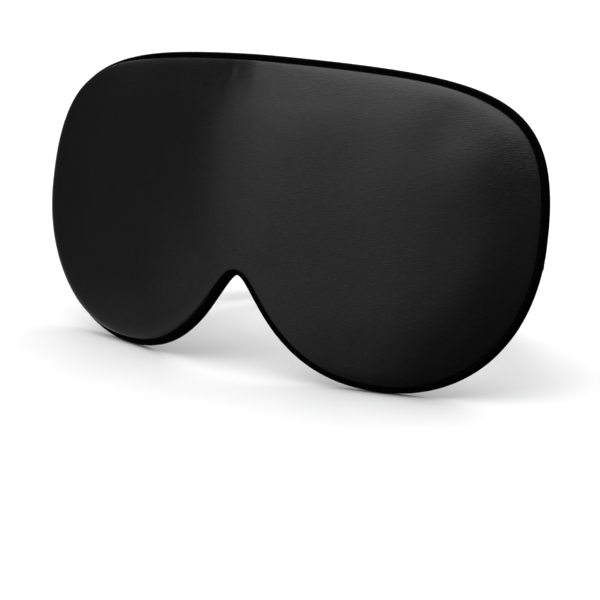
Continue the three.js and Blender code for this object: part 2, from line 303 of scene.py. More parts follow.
def cubic(points, count):
    """Points along a cubic curve from its four control points, without its last."""
    t = np.linspace(0, 1, count, endpoint=False)[:, None]
    a, b, c, d = map(np.array, points)
    return (1 - t) ** 3 * a + 3 * (1 - t) ** 2 * t * b + 3 * (1 - t) * t * t * c + t ** 3 * d


def evenly(points, count):
    """Resamples a closed line at even steps, starting where it starts."""
    closed = np.vstack([points, points[:1]])
    run = np.r_[0, np.cumsum(np.linalg.norm(np.diff(closed, axis=0), axis=1))]
    at = np.linspace(0, run[-1], count, endpoint=False)
    return np.c_[np.interp(at, run, closed[:, 0]), np.interp(at, run, closed[:, 1])], run[-1]


def mask_outline(count):
    """Points round the flat mask from the top of the notch, their outward directions, and the length."""
    curves = [cubic(OUTLINE[i:i + 4], CURVE_POINTS) for i in (0, 3, 6)]
    right = np.vstack(curves + [[OUTLINE[-1]]])
    left = (right[1:-1] * [-1, 1])[::-1]
    points, length = evenly(np.vstack([right, left]), count)
    along = np.roll(points, -1, axis=0) - np.roll(points, 1, axis=0)
    along /= np.linalg.norm(along, axis=1)[:, None]
    return points, np.c_[along[:, 1], -along[:, 0]], length


RIM, RIM_OUT, RIM_LENGTH = mask_outline(RIM_POINTS)


def rim_distance(points):
    """Distance from each point to the nearest edge point, worked out in chunks to save memory."""
    chunks = np.array_split(points, CHUNKS)
    found = [np.sqrt(((chunk[:, None] - RIM) ** 2).sum(2).min(1)) for chunk in chunks]
    return np.concatenate(found)


def rim_nearest(points):
    """Number of the edge point nearest to each point, among every second one."""
    chunks = np.array_split(points, CHUNKS)
    found = [((chunk[:, None] - RIM[::2]) ** 2).sum(2).argmin(1) for chunk in chunks]
    return np.concatenate(found) * 2


def inside_mask(points):
    """True for the points within the outline, by counting the edges that lie to their right."""
    ax, ay = RIM.T
    bx, by = np.roll(RIM, -1, axis=0).T
    inside = np.zeros(len(points), bool)
    for i, (x, y) in enumerate(points):
        spans = (ay > y) != (by > y)
        crossing = ax[spans] + (y - ay[spans]) / (by[spans] - ay[spans]) * (bx[spans] - ax[spans])
        inside[i] = (crossing > x).sum() % 2 == 1
    return inside


# ---- Bend ----

def heading(u):
    """Direction of the bent mask at u, as seen from above."""
    return NOSE_BEND * np.tanh(u / NOSE_SOFTNESS) - END_FLARE * (u / FLARE_AT) ** 3


def bend_table():
    """Where the bent mask's middle line lies, seen from above, for evenly spaced u."""
    u = np.linspace(-BEND_REACH, BEND_REACH, BEND_POINTS)
    middle_heading = heading((u[1:] + u[:-1]) / 2)
    x = np.r_[0, np.cumsum(np.cos(middle_heading) * np.diff(u))]
    y = np.r_[0, np.cumsum(np.sin(middle_heading) * np.diff(u))]
    centre = len(u) // 2
    return u, x - x[centre], y - y[centre]


BEND_U, BEND_X, BEND_Y = bend_table()


def bent(flat):
    """Flat (u, v, t) points to the row frame, apart from where the mask stands on the floor."""
    u, v, t = np.asarray(flat, float).T
    angle = heading(u)
    x = np.interp(u, BEND_U, BEND_X) + t * np.sin(angle)
    y = np.interp(u, BEND_U, BEND_Y) - t * np.cos(angle)
    return np.c_[x, y * np.cos(LEAN) + v * np.sin(LEAN), v * np.cos(LEAN) - y * np.sin(LEAN)] * MM


def standing_offset():
    """How far the bent mask moves so that its edge is centred in the box of the CAD binding."""
    low, high = map(np.array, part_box("rim_binding"))
    edges = np.vstack([bent(np.c_[RIM, np.full(len(RIM), t)]) for t in (-1, 1)])
    return (low + high) / 2 - (edges.min(0) + edges.max(0)) / 2


OFFSET = standing_offset()


def place(flat):
    """Flat (u, v, t) points to the row frame."""
    return bent(flat) + OFFSET


# ---- Panels ----

def ramped(value, zone):
    """Smooth step from 0 to 1 as value goes from the start to the end of the zone."""
    start, end = zone
    share = np.clip((value - start) / (end - start), 0, 1)
    return share * share * (3 - 2 * share)


def puff(u, distance, height, side):
    """Height of the padding: a dome whose edge rolls up.

    The face panel is stuffed fullest at its left end, and slopes away towards its right edge. The
    lining is thinner towards the strap ends, where the strap passes over it as it swings.
    """
    reach = np.clip((distance - BINDING_WIDTH) / PUFF_REACH, 0, 1)
    dome = 1 - (1 - reach) ** PUFF_DOME
    if side < 0:
        thinner = 1 - LINING_THINNING * ramped(np.abs(u), LINING_THIN_ZONE)
        return SEAM_HALF + (height * thinner - SEAM_HALF) * dome ** (1 / PUFF_ROLL)
    left = ramped(-u, LEFT_ZONE)
    roll = PUFF_ROLL + (LEFT_ROLL - PUFF_ROLL) * left
    roll += (RIGHT_ROLL - PUFF_ROLL) * ramped(u, RIGHT_ROLL_ZONE)
    swell = LEFT_SWELL * left + RIGHT_SWELL * ramped(u, RIGHT_SWELL_ZONE)
    swell -= RIGHT_FALL * ramped(u, RIGHT_FALL_ZONE)
    return SEAM_HALF + (height * (1 + swell) - SEAM_HALF) * dome ** (1 / roll)


def disc_samples(points, distance):
    """A small disc round each point: the (u, distance) of its middle and of points on two rings.

    The disc is smaller near the edge, so that it never reaches the binding.
    """
    reach = np.clip(DISC_SHARE * (distance - BINDING_WIDTH), 0, DISC_RADIUS)[:, None]
    samples = [(points[:, 0], distance)]
    for angle in np.arange(DISC_DIRECTIONS) * 2 * math.pi / DISC_DIRECTIONS:
        for share in DISC_RINGS:
            moved = points + share * reach * [math.cos(angle), math.sin(angle)]
            samples.append((moved[:, 0], rim_distance(moved)))
    return samples


def overhang(points, distance):
    """Shift outwards of the padding beside the seam, where it rolls over the binding.

    It rolls furthest over at the left end, and hardly at all at the right end.
    """
    share = np.clip((distance - BINDING_WIDTH) / OVERHANG_REACH, 0, 1)
    u = points[:, 0]
    most = OVERHANG + (LEFT_OVERHANG - OVERHANG) * ramped(-u, LEFT_ZONE)
    most += (RIGHT_OVERHANG - OVERHANG) * ramped(u, RIGHT_ROLL_ZONE)
    shift = most * np.sin(np.pi * share ** OVERHANG_EARLY)
    return RIM_OUT[rim_nearest(points)] * shift[:, None]


def nose_ease(u, distance):
    """How far the padding lies back from the ridge of the bend, which it rounds over."""
    def ridge(softness):
        return softness * np.log(2 * np.cosh(u / softness))
    away = 1 - np.exp(-np.maximum(distance - BINDING_WIDTH, 0) / NOSE_EASE_REACH)
    return NOSE_BEND * (ridge(NOSE_ROUND) - ridge(NOSE_SOFTNESS)) * away


def panel_mesh(inset):
    """Triangles over the flat mask from an inset inwards: rings along the edge, and an even fill inside.

    Returns the points, the faces, and the distance of each point from the edge.
    """
    stations = np.arange(0, len(RIM), RIM_STEP)
    rings = [RIM[stations] - d * RIM_OUT[stations] for d in RING_INSETS if d >= inset]
    columns = int(HALF_WIDTH / SHEET_SPACING)
    us = np.arange(-columns, columns + 1) * SHEET_SPACING
    vs = np.arange(0, MASK_HEIGHT, SHEET_SPACING * math.sqrt(0.75))
    uu, vv = np.meshgrid(us, vs)
    uu[::2] += SHEET_SPACING / 2
    fill = np.c_[uu.ravel(), vv.ravel()]
    fill = fill[inside_mask(fill) & (rim_distance(fill) > RING_INSETS[-1] + FILL_CLEAR)]
    points = [Vector(p) for p in np.vstack(rings + [fill])]
    edge = list(range(len(stations)))
    found = delaunay_2d_cdt(points, [], [edge], 1, MERGE_LIMIT)
    points = np.array([tuple(p) for p in found[0]])
    faces = np.array(found[2])
    return points, faces, rim_distance(points)


def eased(sheet, values, rounds, held):
    """Averages the values at each point with its neighbours', nearest most, apart from the held points."""
    ends = np.empty(len(sheet.data.edges) * 2, int)
    sheet.data.edges.foreach_get("vertices", ends)
    a, b = ends.reshape(-1, 2).T
    co = vertex_array(sheet)
    near = 1 / np.linalg.norm(co[a] - co[b], axis=1)[:, None]
    count = np.bincount(ends, np.repeat(near[:, 0], 2), len(values))[:, None]
    share = np.where(held, 0, EASING_SHARE)[:, None]
    for _ in range(rounds):
        total = np.zeros_like(values)
        np.add.at(total, a, values[b] * near)
        np.add.at(total, b, values[a] * near)
        values = (1 - share) * values + share * total / count
    return values


def inflate(sheet, pinned, frames, pressure, cap):
    """Blender's cloth with air behind the sheet; no point ends further than cap from its start."""
    start = vertex_array(sheet)
    group = sheet.vertex_groups.new(name="pinned")
    group.add([int(i) for i in np.flatnonzero(pinned)], 1.0, "REPLACE")
    cloth = sheet.modifiers.new("cloth", "CLOTH")
    settings = cloth.settings
    settings.quality = 5
    settings.mass = 0.05
    settings.tension_stiffness = 20
    settings.compression_stiffness = 20
    settings.shear_stiffness = 10
    settings.bending_stiffness = 2
    settings.air_damping = 1
    settings.vertex_group_mass = "pinned"
    settings.use_pressure = True
    settings.uniform_pressure_force = pressure
    settings.effector_weights.gravity = 0
    cloth.collision_settings.use_collision = False
    cloth.point_cache.frame_start = 1
    cloth.point_cache.frame_end = frames
    scene = bpy.context.scene
    for number in range(1, frames + 1):
        scene.frame_set(number)
    settled = sheet.evaluated_get(bpy.context.evaluated_depsgraph_get())
    moved = np.empty(len(start) * 3)
    settled.data.vertices.foreach_get("co", moved)
    sheet.modifiers.remove(cloth)
    scene.frame_set(1)
    shift = eased(sheet, moved.reshape(-1, 3) - start, CLOTH_EASING, pinned)
    reach = np.linalg.norm(shift, axis=1)[:, None]
    set_vertices(sheet, start + shift * np.minimum(1, cap / np.maximum(reach, 1e-9)))


def seam_ripple(points, distance):
    """Small gathers where the binding holds the cloth, deepest at the brow and the outer cheek."""
    run = rim_nearest(points) / len(RIM) * RIM_LENGTH
    wave = np.zeros(len(points))
    for pitch, phase, share in GATHERS:
        wander = GATHER_WANDER * np.sin(run / GATHER_WANDER_RUN + phase)
        wave += share * np.cos(2 * np.pi * run / pitch + phase + wander)
    strong = GATHER_EVEN + sum(np.exp(-((run - at) / spread) ** 2) for at, spread in GATHER_PLACES)
    fade = np.clip((distance - BINDING_WIDTH) / GATHER_START, 0, 1) * np.exp(-distance / GATHER_REACH)
    return GATHER_DEPTH * strong * wave * fade


def add_panel(name, side, height, plan, discs):
    """One puffed cloth of the mask; side is 1 for the face panel and -1 for the lining.

    The height is averaged over small discs, so that no ridge runs in from the corners of the outline.
    """
    points, faces, distance = plan
    u = points[:, 0]
    spread_out = points + overhang(points, distance) * (side > 0)
    flat = np.insert(spread_out, 1, 0, axis=1)
    sheet = new_object(name, flat, faces[:, ::side], weave=np.insert(points, 2, 0, axis=1))
    t = sum(puff(*disc, height * START_SHARE, side) for disc in discs) / len(discs)
    flat[:, 1] = side * nose_ease(u, distance) - t - seam_ripple(points, distance)
    flat[:, 1] *= side
    set_vertices(sheet, flat * CLOTH_SCALE)
    inflate(sheet, distance < BINDING_WIDTH, CLOTH_FRAMES, CLOTH_PRESSURE, CLOTH_CAP * CLOTH_SCALE)
    settled = vertex_array(sheet) / CLOTH_SCALE
    set_vertices(sheet, place(np.c_[settled[:, 0], settled[:, 2], -settled[:, 1]]))
    smooth = sheet.modifiers.new("smooth", "SUBSURF")
    smooth.levels = smooth.render_levels = 1
    thick = sheet.modifiers.new("cloth", "SOLIDIFY")
    thick.thickness = CLOTH_THICKNESS
    thick.offset = -1
    return sheet


def add_wadding(name, side, height):
    """Lofty batting under a panel, uneven on top as fibres are."""
    points, faces, distance = panel_mesh(WADDING_INSET)
    u, v = points.T
    across = np.sin(u / LOFT_U[0] + LOFT_SWAY[0] * np.sin(v / LOFT_V[1]))
    upward = np.sin(v / LOFT_V[0] + LOFT_SWAY[1] * np.sin(u / LOFT_U[1]))
    loft = across * upward
    full = puff(u, distance, height * START_SHARE, side) - np.maximum(side * nose_ease(u, distance), 0)
    rise = np.sqrt(np.clip((distance - WADDING_INSET) / WADDING_ROUND, 0, 1))
    top = WADDING_LOW + WADDING_EDGE + (full - WADDING_CLEAR - WADDING_LOFT * (1 - loft)) * rise
    count = len(points)
    flat = np.vstack([np.c_[u, v, side * top], np.c_[u, v, np.full(count, side * WADDING_LOW)]])
    loops = [tuple(f) for f in faces] + [tuple(f[::-1] + count) for f in faces]
    edges = {(a, b) for f in faces for a, b in zip(f, np.roll(f, -1))}
    loops += [(a, a + count, b + count, b) for a, b in sorted(edges) if (b, a) not in edges]
    weave = np.c_[flat[:, :2], np.zeros(2 * count)]
    return new_object(name, place(flat), [f[::side] for f in loops], weave=weave)


# ---- Binding and stitches ----

def rim_flat(at, inset, height):
    """A flat (u, v, t) point inset from the edge, at rim point number at."""
    spot = RIM[at] - RIM_OUT[at] * np.asarray(inset)[..., None]
    t = np.broadcast_to(np.asarray(height)[..., None], spot.shape[:-1] + (1,))
    return np.concatenate([spot, t], -1)


def binding_face(inset):
    """Height of the binding's outer face, with the sewn groove and the rolled fold."""
    rolled = 1 - np.minimum(inset / BINDING_ROLL, 1)
    fold = BINDING_HALF * np.sqrt(np.clip(1 - rolled ** 2, 0, 1))
    groove = SEW_GROOVE * np.exp(-((inset - SEW_INSET) / SEW_GROOVE_HALF) ** 2)
    return fold - groove - INNER_SLOPE * np.maximum(inset - SLOPE_START, 0)


def add_binding():
    """The tape as a closed U section round the rim: (inset, height, side) of each row of its points."""
    at = np.arange(len(RIM))
    run = at / len(RIM) * RIM_LENGTH
    inner_half = BINDING_HALF - BINDING_CLOTH
    front = [(inset, binding_face(inset), 1) for inset in BINDING_ROWS]
    back = [(inset, -height, -1) for inset, height, _ in reversed(front)]
    inner_back = [(BINDING_WIDTH, -inner_half, 0), (BINDING_CLOTH, -inner_half, 0)]
    inner_front = [(BINDING_CLOTH, inner_half, 0), (BINDING_WIDTH, inner_half, 0)]
    rows = front + [(0, 0, 0)] + back + inner_back + inner_front
    short, swing, long = WAVE_RUNS
    flat = []
    weave = []
    for inset, height, side in rows:
        wave = np.sin(run / short + WAVE_SIDE_PHASE * side + np.sin(run / swing))
        wave *= np.sin(run / long + WAVE_INSET_PHASE * inset)
        near_sewing = np.exp(-((inset - SEW_INSET) / PUCKER_HALF) ** 2)
        pucker = np.cos(2 * np.pi * run / STITCH_PITCH) * near_sewing
        lift = side * (BINDING_WAVE * wave + STITCH_PUCKER * pucker)
        flat.append(rim_flat(at, np.full(len(at), inset), height + lift))
        weave.append(np.c_[run, np.full(len(at), inset * (side or 1)), np.zeros(len(at))])
    count = len(rows)
    corner = np.arange(len(at) * count).reshape(count, len(at))
    beyond = np.roll(corner, -1, axis=1)
    above = np.roll(corner, -1, axis=0)
    both = np.roll(beyond, -1, axis=0)
    quads = np.stack([corner, above, both, beyond], -1).reshape(-1, 4)
    return new_object("binding_tape", place(np.vstack(flat)), quads, weave=np.vstack(weave))


def thread_run(centre, along, up, length, radius):
    """One stitch: a capsule that dips at its ends. Returns points, faces and places along the thread."""
    along = along / np.linalg.norm(along)
    side = np.cross(up, along)
    side /= np.linalg.norm(side)
    up = np.cross(along, side)
    points = []
    marks = []
    for share, width in CAPSULE_RINGS:
        middle_point = centre + along * share * length - up * radius * THREAD_DIP * share ** 2
        turns = [0] if width == 0 else range(CAPSULE_SIDES)
        for turn in turns:
            angle = 2 * math.pi * turn / CAPSULE_SIDES
            points.append(middle_point + radius * width * (math.cos(angle) * side + math.sin(angle) * up))
            marks.append((share * length, turn / CAPSULE_SIDES, 0))
    faces = []
    last = len(points) - 1
    rings = len(CAPSULE_RINGS) - 2
    for turn in range(CAPSULE_SIDES):
        beside = (turn + 1) % CAPSULE_SIDES
        faces.append((0, 1 + beside, 1 + turn))
        for ring in range(rings - 1):
            low = 1 + ring * CAPSULE_SIDES
            high = low + CAPSULE_SIDES
            faces.append((low + turn, low + beside, high + beside, high + turn))
        low = 1 + (rings - 1) * CAPSULE_SIDES
        faces.append((low + turn, low + beside, last))
    return points, faces, marks


def add_threads(name, runs):
    """One mesh of many stitches; a run is (centre, along, up, length, radius)."""
    points = []
    faces = []
    marks = []
    for run in runs:
        more, sides, places = thread_run(*run)
        faces += [tuple(i + len(points) for i in f) for f in sides]
        points += more
        marks += places
    return new_object(name, points, faces, weave=marks)


def add_binding_stitches(name, side):
    """The row of stitches along the groove, on the front or the back of the binding."""
    count = round(RIM_LENGTH / STITCH_PITCH)
    height = side * (binding_face(SEW_INSET) + STITCH_LIFT * THREAD_RADIUS)
    runs = []
    for number in range(count):
        at = int(number * len(RIM) / count)
        ahead = (at + STITCH_AIM) % len(RIM)
        here, there, over = place(np.array([
            rim_flat(at, SEW_INSET, height),
            rim_flat(ahead, SEW_INSET, height),
            rim_flat(at, SEW_INSET, height + side),
        ]))
        runs.append((here, there - here, (over - here) / MM, STITCH_LENGTH * MM, THREAD_RADIUS * MM))
    return add_threads(name, runs)


# ---- Elastic strap ----

def joint(name):
    """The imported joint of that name."""
    return next(j for j in frame["joints"] if j["name"] == name)


HINGE = Vector(joint("strap_swing")["pos_m"])
BACK = ((middle("ring") - HINGE) * Vector((0, 1, 1))).normalized()
ACROSS = Vector((1, 0, 0)).cross(BACK)
MASK_UP = Vector((0, math.sin(LEAN), math.cos(LEAN)))


def strap_point(x, back):
    """A point of the strap's plane, given in millimetres from the hinge, in the row frame."""
    return HINGE + (Vector((x, 0, 0)) + BACK * back) * MM


def strap_place(node):
    """Middle of a strap node, in the strap's own millimetres: (sideways, back)."""
    spot = (middle(node) - HINGE) / MM
    return spot.x, spot.dot(BACK)


RING_X, REAR_BACK = strap_place("ring")
SLIDER_X = middle("slider").x / MM
FOLD_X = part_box("strap_end_right")[0].x / MM
REAR_END_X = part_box("rear_band")[1].x / MM
RING_TAIL_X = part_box("ring_loop")[0].x / MM


def rounded(points, cuts=3):
    """Chaikin's corner cutting on an open line; its ends stay."""
    points = np.asarray(points, float)
    for _ in range(cuts):
        a, b = points[:-1], points[1:]
        inner = np.stack([0.75 * a + 0.25 * b, 0.25 * a + 0.75 * b], 1).reshape(-1, points.shape[1])
        points = np.vstack([points[:1], inner[1:-1], points[-1:]])
    return points


def resampled(points, step):
    """Resamples an open line at even steps of about the given length."""
    points = np.asarray(points, float)
    run = np.r_[0, np.cumsum(np.linalg.norm(np.diff(points, axis=0), axis=1))]
    at = np.linspace(0, run[-1], max(3, round(run[-1] / step) + 1))
    return np.stack([np.interp(at, run, points[:, i]) for i in range(points.shape[1])], 1)


def arc(centre, radius, start, end):
    """Points round an arc, from a start angle to an end angle in degrees."""
    angles = np.linspace(math.radians(start), math.radians(end), ARC_POINTS)
    return np.c_[centre[0] + radius * np.cos(angles), centre[1] + radius * np.sin(angles)]


def band_section():
    """Section of the elastic: (across, thick) points of a ribbed flat band with round edges."""
    half = BAND_WIDTH / 2 - BAND_HALF
    across = np.linspace(-half, half, BAND_RIBS * RIB_POINTS + 1)
    rib = np.abs(np.sin(np.pi * BAND_RIBS * (across + half) / (2 * half)))
    face = BAND_HALF - RIB_DEPTH * (1 - rib ** RIB_SHAPE)
    turn = np.radians([-50, 0, 50])
    edge = np.c_[half + EDGE_ROUND * np.cos(turn), -EDGE_ROUND * np.sin(turn)]
    return np.vstack([np.c_[across, face], edge, np.c_[across, -face][::-1], -edge])


def add_band(name, centres, wide, run_start=0.0):
    """Sweeps the band's section along centres (row frame); wide is the width direction at each."""
    centres = np.asarray(centres, float)
    wide = np.broadcast_to(np.asarray(wide, float), centres.shape)
    along = np.gradient(centres, axis=0)
    along /= np.linalg.norm(along, axis=1)[:, None]
    thick = np.cross(wide, along)
    thick /= np.linalg.norm(thick, axis=1)[:, None]
    run = run_start + np.r_[0, np.cumsum(np.linalg.norm(np.diff(centres, axis=0), axis=1))] / MM
    section = band_section()
    points = centres[:, None] + (wide[:, None] * section[:, :1] + thick[:, None] * section[:, 1:]) * MM
    weave = np.stack(np.broadcast_arrays(run[:, None], section[:, 0], section[:, 1]), -1)
    rows, columns = len(centres), len(section)
    corner = np.arange(rows * columns).reshape(rows, columns)
    beside = np.roll(corner, -1, axis=1)
    quads = np.stack([corner[:-1], beside[:-1], beside[1:], corner[1:]], -1).reshape(-1, 4)
    faces = [tuple(q) for q in quads]
    faces += [tuple(corner[0][::-1]), tuple(corner[-1])]
    return new_object(name, points.reshape(-1, 3), faces, weave=weave.reshape(-1, 3))


def add_flat_band(name, path, run_start=0.0):
    """A band whose path, of (sideways, back) points, lies in the strap's plane."""
    centres = [strap_point(x, back) for x, back in resampled(path, BAND_STEP)]
    return add_band(name, centres, ACROSS, run_start)


def side_path(side, corner, radius):
    """Straight from the fold to the corner's arc, then round it: (start, direction, path)."""
    start = np.array([side * FOLD_X, 0])
    to_corner = corner - start
    distance = np.linalg.norm(to_corner)
    angle = math.atan2(to_corner[1], to_corner[0]) - side * math.asin(radius / distance)
    direction = np.array([math.cos(angle), math.sin(angle)])
    touch = math.degrees(angle - side * math.pi / 2)
    return start, direction, arc(corner, radius, touch, 90)


def add_strap_side(name, side, corner):
    """The sewn end, fold and twist in one piece, then the side band and its corner."""
    start, direction, bend = side_path(side, corner, CORNER_RADIUS)
    fold = np.array(strap_point(*start))
    tab = 2 * np.array(middle(f"strap_end_{name}")) - fold
    twist_end = start + TWIST_LENGTH * direction
    twist = np.array(strap_point(*twist_end))
    toward_tab = (tab - fold) / np.linalg.norm(tab - fold)
    toward_twist = (twist - fold) / np.linalg.norm(twist - fold)
    before = fold + toward_tab * FOLD_REACH * MM
    before = before * (1 - FOLD_TAB_SHARE) + tab * FOLD_TAB_SHARE
    after = fold + toward_twist * FOLD_REACH * MM
    cut = rounded([tab, before, fold, after, twist])
    centres = resampled(cut / MM, BAND_STEP) * MM
    share = np.clip((centres - fold) @ toward_twist / (TWIST_LENGTH * MM), 0, 1)
    share = (share ** 2 * (3 - 2 * share))[:, None]
    lean = LEAN + share * (math.atan2(ACROSS.y, ACROSS.z) - LEAN)
    wide = np.hstack([np.zeros_like(lean), np.sin(lean), np.cos(lean)])
    end = add_band(f"strap_end_fold_{name}", centres, wide)
    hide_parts(f"strap_end_{name}", f"band_twist_{name}")
    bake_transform(end)
    band = add_flat_band(f"strap_side_{name}", np.vstack([twist_end, bend]), TWIST_LENGTH)
    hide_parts(f"side_band_{name}")
    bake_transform(band)
    return [end, band]


def add_rear_bands():
    """Bands behind the head: through the slider, round the ring's bars and back."""
    bar_out = RING_X + RING_BAR_SPACING / 2
    bar_in = RING_X - RING_BAR_SPACING / 2
    back = REAR_BACK
    return_x = bar_out + RETURN_START
    rear = add_flat_band("strap_rear_run", np.vstack([
        [(REAR_END_X + BAND_CLEAR, back + PLY_OFFSET)],
        arc((bar_out, back), PLY_OFFSET, 90, 270),
        [(return_x, back - PLY_OFFSET)],
    ]))
    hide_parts("rear_band")
    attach(rear, "strap_rear")
    loop_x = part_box("slider_loop")[0].x / MM
    return_path = [(return_x, back - PLY_OFFSET), (loop_x, back - PLY_OFFSET)]
    return_run = add_flat_band("strap_return_run", return_path)
    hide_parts("return_band")
    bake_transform(return_run)
    ply = BAND_HALF
    lap_x = RING_TAIL_X + LOOP_LAP
    neck_x = bar_in - LOOP_NECK
    ring_loop = add_flat_band("strap_ring_loop", rounded(np.vstack([
        [(RING_TAIL_X - BAND_CLEAR, back), (lap_x, back), (RING_TAIL_X + RING_LAP_RISE, back + ply)],
        [(neck_x, back + ply)],
        arc((bar_in, back), PLY_OFFSET, RING_LOOP_TURN, -RING_LOOP_TURN),
        [(neck_x, back - ply), (lap_x, back - ply)],
    ]), 2))
    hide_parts("ring_loop")
    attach(ring_loop, "strap_rear")
    pin = (SLIDER_X, back + SLIDER_PIN_BACK)
    inner = back - PLY_OFFSET
    outer = inner + 2 * ply
    slider_loop = add_flat_band("strap_slider_loop", rounded(np.vstack([
        [(loop_x, inner), (loop_x + LOOP_NECK, inner)],
        arc(pin, SLIDER_LOOP_RADIUS, *SLIDER_LOOP_TURN),
        [(loop_x + LOOP_NECK, outer), (loop_x + LOOP_LAP, outer)],
    ]), 2))
    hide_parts("slider_loop")
    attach(slider_loop, "slider")
    return [rear, return_run, ring_loop, slider_loop]


def tack_runs(centre, along, wide, normal):
    """Close rows of thread side by side: each lies along the band, and they are set across it."""
    runs = []
    for number in range(TACK_THREADS):
        share = number / (TACK_THREADS - 1) - 0.5
        lean = TACK_LEAN * (-1) ** number
        spot = np.array(centre) + np.array(wide) * share * TACK_WIDTH * MM
        direction = np.array(along) + lean * np.array(wide)
        runs.append((spot, direction, np.array(normal), TACK_LENGTH * MM, TACK_THREAD_RADIUS * MM))
    return runs


def add_tacks():
    """Bar tacks on the sewn ends and on both sewn loops."""
    made = []
    for name, side in (("left", -1), ("right", 1)):
        fold = strap_point(side * FOLD_X, 0)
        centre = middle(f"strap_end_{name}")
        along = (centre - fold).normalized()
        normal = along.cross(MASK_UP) * side
        if normal.y < 0:
            normal = -normal
        surface = centre + normal * BAND_HALF * MM
        tack = add_threads(f"tack_end_{name}", tack_runs(surface, along, MASK_UP, normal))
        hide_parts(f"bar_tack_{name}")
        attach(tack, "mask")
        made.append(tack)
    loop_middle = BAND_HALF - PLY_OFFSET
    sewn = [
        ("tack_ring_loop", "ring_loop_tack", "strap_rear", 0),
        ("tack_slider_loop", "slider_loop_tack", "slider", loop_middle),
    ]
    for name, node, body, ply_middle in sewn:
        inner = ply_middle - 2 * BAND_HALF
        outer = ply_middle + 2 * BAND_HALF
        x = middle(node).x / MM
        runs = tack_runs(strap_point(x, REAR_BACK + inner), (1, 0, 0), ACROSS, -BACK)
        runs += tack_runs(strap_point(x, REAR_BACK + outer), (1, 0, 0), ACROSS, BACK)
        tack = add_threads(name, runs)
        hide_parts(node)
        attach(tack, body)
        made.append(tack)
    return made


# ---- Materials ----

def add_node(tree, kind, inputs=None, **settings):
    """A shader node; an input is a plain value or another node's output socket."""
    node = tree.nodes.new(kind)
    for key, value in settings.items():
        setattr(node, key, value)
    for key, value in (inputs or {}).items():
        if isinstance(value, bpy.types.NodeSocket):
            tree.links.new(value, node.inputs[key])
        else:
            node.inputs[key].default_value = value
    return node


def new_material(name, **sockets):
    """A material with its Principled shader; sockets are set directly on the shader."""
    material = bpy.data.materials.new(name)
    material.use_nodes = True
    shader = material.node_tree.nodes["Principled BSDF"]
    for key, value in sockets.items():
        shader.inputs[key.replace("_", " ")].default_value = value
    return material, material.node_tree, shader


def woven(tree, scale):
    """Place in the flat cloth, in millimetres, stretched by scale."""
    place_node = add_node(tree, "ShaderNodeAttribute", attribute_name="weave")
    return add_node(
        tree, "ShaderNodeVectorMath", {0: place_node.outputs["Vector"], 1: scale}, operation="MULTIPLY",
    ).outputs[0]


def noise(tree, vector, scale=1.0, detail=3.0, roughness=0.5):
    """Factor of a noise texture."""
    return add_node(
        tree, "ShaderNodeTexNoise",
        {"Vector": vector, "Scale": scale, "Detail": detail, "Roughness": roughness},
    ).outputs[0]


def ramp(tree, factor, low, high, start):
    """A colour between low and high as factor goes from start to NOISE_HIGH."""
    node = add_node(tree, "ShaderNodeValToRGB", {"Fac": factor})
    first, last = node.color_ramp.elements
    first.position, last.position = start, NOISE_HIGH
    first.color, last.color = (*low, 1), (*high, 1)
    return node.outputs["Color"]


def spread(tree, factor, low, high):
    """A number between low and high as factor goes from NOISE_LOW to NOISE_HIGH."""
    return add_node(tree, "ShaderNodeMapRange", {
        "Value": factor, "From Min": NOISE_LOW, "From Max": NOISE_HIGH, "To Min": low, "To Max": high,
    }).outputs[0]


def painted(tree, shader, factor, low, high, start=NOISE_LOW):
    """Base colour from low to high, as ramp does."""
    tree.links.new(ramp(tree, factor, low, high, start), shader.inputs["Base Color"])


def roughened(tree, shader, factor, low, high):
    """Roughness from low to high, as spread does."""
    tree.links.new(spread(tree, factor, low, high), shader.inputs["Roughness"])


def maths(tree, operation, *values):
    """Result of a Math node."""
    return add_node(tree, "ShaderNodeMath", dict(enumerate(values)), operation=operation).outputs[0]


def bump(tree, shader, height, distance, under=None):
    """Bump on the shader, on top of another bump's normal if one is given. Returns its own normal."""
    inputs = {"Height": height, "Distance": distance, "Strength": 1.0}
    if under is not None:
        inputs["Normal"] = under
    node = add_node(tree, "ShaderNodeBump", inputs)
    tree.links.new(node.outputs[0], shader.inputs["Normal"])
    return node.outputs[0]


def stripes(tree, vector, sharp=1.0):
    """Rounded ridges along the first axis of vector, one to a unit: 0 between them and 1 on them."""
    first = add_node(tree, "ShaderNodeSeparateXYZ", {0: vector}).outputs[0]
    wave = maths(tree, "MULTIPLY", first, math.pi)
    size = maths(tree, "ABSOLUTE", maths(tree, "SINE", wave))
    return maths(tree, "POWER", size, sharp)


def satin_material():
    """Black satin: floats of thread run across the mask, with long thin streaks of lighter sheen."""
    material, tree, shader = new_material(
        "satin_finish", Sheen_Weight=0.03, Sheen_Roughness=0.35, Specular_IOR_Level=0.5,
    )
    streak = noise(tree, woven(tree, (0.45, 3.2, 0.3)), detail=4, roughness=0.6)
    painted(tree, shader, streak, (0.0015, 0.0015, 0.0016), (0.0055, 0.0055, 0.0057))
    roughened(tree, shader, streak, 0.42, 0.25)
    broad = noise(tree, woven(tree, (0.05, 0.07, 0.05)), detail=2)
    soft = bump(tree, shader, broad, 0.15 * MM)
    bump(tree, shader, streak, 0.085 * MM, under=soft)
    return material


